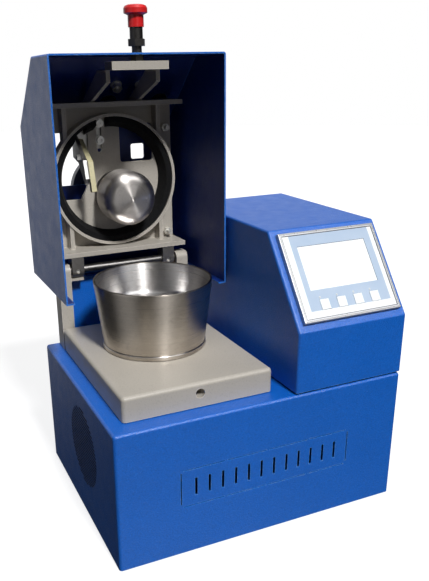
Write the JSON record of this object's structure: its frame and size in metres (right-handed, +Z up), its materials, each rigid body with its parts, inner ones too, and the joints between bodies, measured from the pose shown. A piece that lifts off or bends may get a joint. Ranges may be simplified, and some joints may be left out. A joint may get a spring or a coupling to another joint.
{
  "type": "laboratory mortar grinder",
  "caption": "Bench-top laboratory mortar grinder with a turning mortar, a hinged hood carrying the pestle and scraper, and a sloped control housing.",
  "frame": {"origin": "middle of the whole machine's footprint with the hood open, on the surface it stands on", "axes": "+Z up, front of the machine towards -Y, +X to the right seen from the front"},
  "size_m": [0.392, 0.389, 0.6264],
  "materials": {
    "blue_paint": "fine textured powder coat",
    "beige_paint": "smooth semi-gloss paint",
    "brushed_steel": "turned stainless steel",
    "polished_steel": "ground and polished",
    "plain_steel": "bright machined steel",
    "black_rubber": "matt moulded rubber",
    "black_plastic": "moulded plastic",
    "red_plastic": "moulded plastic, slightly glossy",
    "scraper_plastic": "machined engineering plastic",
    "silver_frame": "satin anodised",
    "panel_film": "printed polyester film",
    "screen_glass": "lit display surface",
    "key_plastic": "moulded key cap",
    "motor_grey": "cast housing, painted",
    "bronze": "sintered bronze",
    "zinc_sheet": "zinc plated sheet",
    "wheel_grey": "painted cast wheel"
  },
  "bodies": {
    "machine": {"base_housing": "blue_paint", "base_floor_plate": "zinc_sheet", "rubber_feet": "black_rubber", "foot_screws": "plain_steel", "machine_plate": "beige_paint", "plate_gasket": "black_rubber", "hinge_posts": "beige_paint", "rear_wall": "blue_paint", "post_bushes": "bronze", "control_housing": "blue_paint", "seam_gasket": "black_rubber", "panel_gasket": "black_rubber", "touch_bezel": "silver_frame", "panel_rear_case": "black_plastic", "panel_front": "panel_film", "touch_screen": "screen_glass", "bearing_housing": "plain_steel", "drive_bearings": "plain_steel", "gear_motor": "motor_grey", "motor_bracket": "zinc_sheet", "fan_frame": "black_plastic", "frequency_inverter": "motor_grey", "power_inlet": "black_plastic"},
    "mortar": {"mortar_bowl": "brushed_steel", "drive_plate": "plain_steel", "drive_shaft": "plain_steel", "driven_gear": "plain_steel"},
    "pinion": {"motor_pinion": "plain_steel"},
    "fan": {"fan_rotor": "black_plastic"},
    "switch": {"power_switch": "black_plastic"},
    "hood": {"hood_shell": "blue_paint", "slope_plugs": "black_plastic", "carrier_plate": "beige_paint", "cross_plates": "beige_paint", "side_ribs": "beige_paint", "mortar_ring": "beige_paint", "ring_seal": "black_rubber", "latch_plate": "beige_paint", "latch_gussets": "beige_paint", "plunger_sleeve": "plain_steel", "hinge_lugs": "beige_paint", "hinge_shaft": "polished_steel", "hood_spacers": "plain_steel", "hood_fasteners": "plain_steel", "pestle_housing": "plain_steel", "pressure_spring": "plain_steel"},
    "plunger": {"plunger_pin": "polished_steel", "plunger_knob": "red_plastic"},
    "pestle_carriage": {"pestle_sleeve": "plain_steel", "pestle_bearings": "plain_steel"},
    "pestle": {"pestle": "brushed_steel"},
    "handwheel": {"wheel_spindle": "plain_steel", "pressure_wheel": "wheel_grey"},
    "scraper": {"scraper_blade": "scraper_plastic", "scraper_bracket": "plain_steel", "scraper_screws": "plain_steel"},
    "key_1": {"function_key_1": "key_plastic"},
    "key_2": {"function_key_2": "key_plastic"},
    "key_3": {"function_key_3": "key_plastic"},
    "key_4": {"function_key_4": "key_plastic"}
  },
  "joints": [
    {"name": "hood_hinge", "type": "hinge", "parent": "machine", "child": "hood", "pos_m": [-0.0794, 0.08794, 0.2921], "axis": [1, 0, 0], "range_deg": [0, 91]},
    {"name": "mortar_spin", "type": "hinge", "parent": "machine", "child": "mortar", "pos_m": [-0.0794, -0.02956, 0.213], "axis": [0, 0, 1], "continuous": true},
    {"name": "pinion_spin", "type": "hinge", "parent": "machine", "child": "pinion", "pos_m": [0.0006, -0.02956, 0.075], "axis": [0, 0, 1], "continuous": true},
    {"name": "fan_spin", "type": "hinge", "parent": "machine", "child": "fan", "pos_m": [-0.183, -0.06646, 0.102], "axis": [1, 0, 0], "continuous": true},
    {"name": "switch_rock", "type": "hinge", "parent": "machine", "child": "switch", "pos_m": [0.138, 0.10254, 0.076], "axis": [1, 0, 0], "range_deg": [0, 14]},
    {"name": "plunger_travel", "type": "slide", "parent": "hood", "child": "plunger", "axis": [0, -0.0175, -0.9998], "range_m": [0, 0.012]},
    {"name": "pestle_press", "type": "slide", "parent": "hood", "child": "pestle_carriage", "axis": [0, 0.9998, -0.0175], "range_m": [0, 0.006], "stiffness_N_per_m": 5000, "springref_m": -0.004, "deforming": ["pressure_spring"]},
    {"name": "pestle_spin", "type": "hinge", "parent": "pestle_carriage", "child": "pestle", "pos_m": [-0.0699, 0.08961, 0.38759], "axis": [0, -0.9998, 0.0175], "continuous": true},
    {"name": "pressure_turn", "type": "hinge", "parent": "hood", "child": "handwheel", "pos_m": [-0.0699, 0.17959, 0.38601], "axis": [0, 0.9998, -0.0175], "range_deg": [0, 720]},
    {"name": "scraper_adjust", "type": "slide", "parent": "hood", "child": "scraper", "axis": [0, -0.0175, -0.9998], "range_m": [0, 0.012]},
    {"name": "key_1_press", "type": "slide", "parent": "machine", "child": "key_1", "axis": [0, 0.8045, -0.594], "range_m": [0, 0.0005], "stiffness_N_per_m": 400},
    {"name": "key_2_press", "type": "slide", "parent": "machine", "child": "key_2", "axis": [0, 0.8045, -0.594], "range_m": [0, 0.0005], "stiffness_N_per_m": 400},
    {"name": "key_3_press", "type": "slide", "parent": "machine", "child": "key_3", "axis": [0, 0.8045, -0.594], "range_m": [0, 0.0005], "stiffness_N_per_m": 400},
    {"name": "key_4_press", "type": "slide", "parent": "machine", "child": "key_4", "axis": [0, 0.8045, -0.594], "range_m": [0, 0.0005], "stiffness_N_per_m": 400}
  ],
  "couplings": [
    {"joint": "pinion_spin", "follows": "mortar_spin", "ratio": -3}
  ]
}
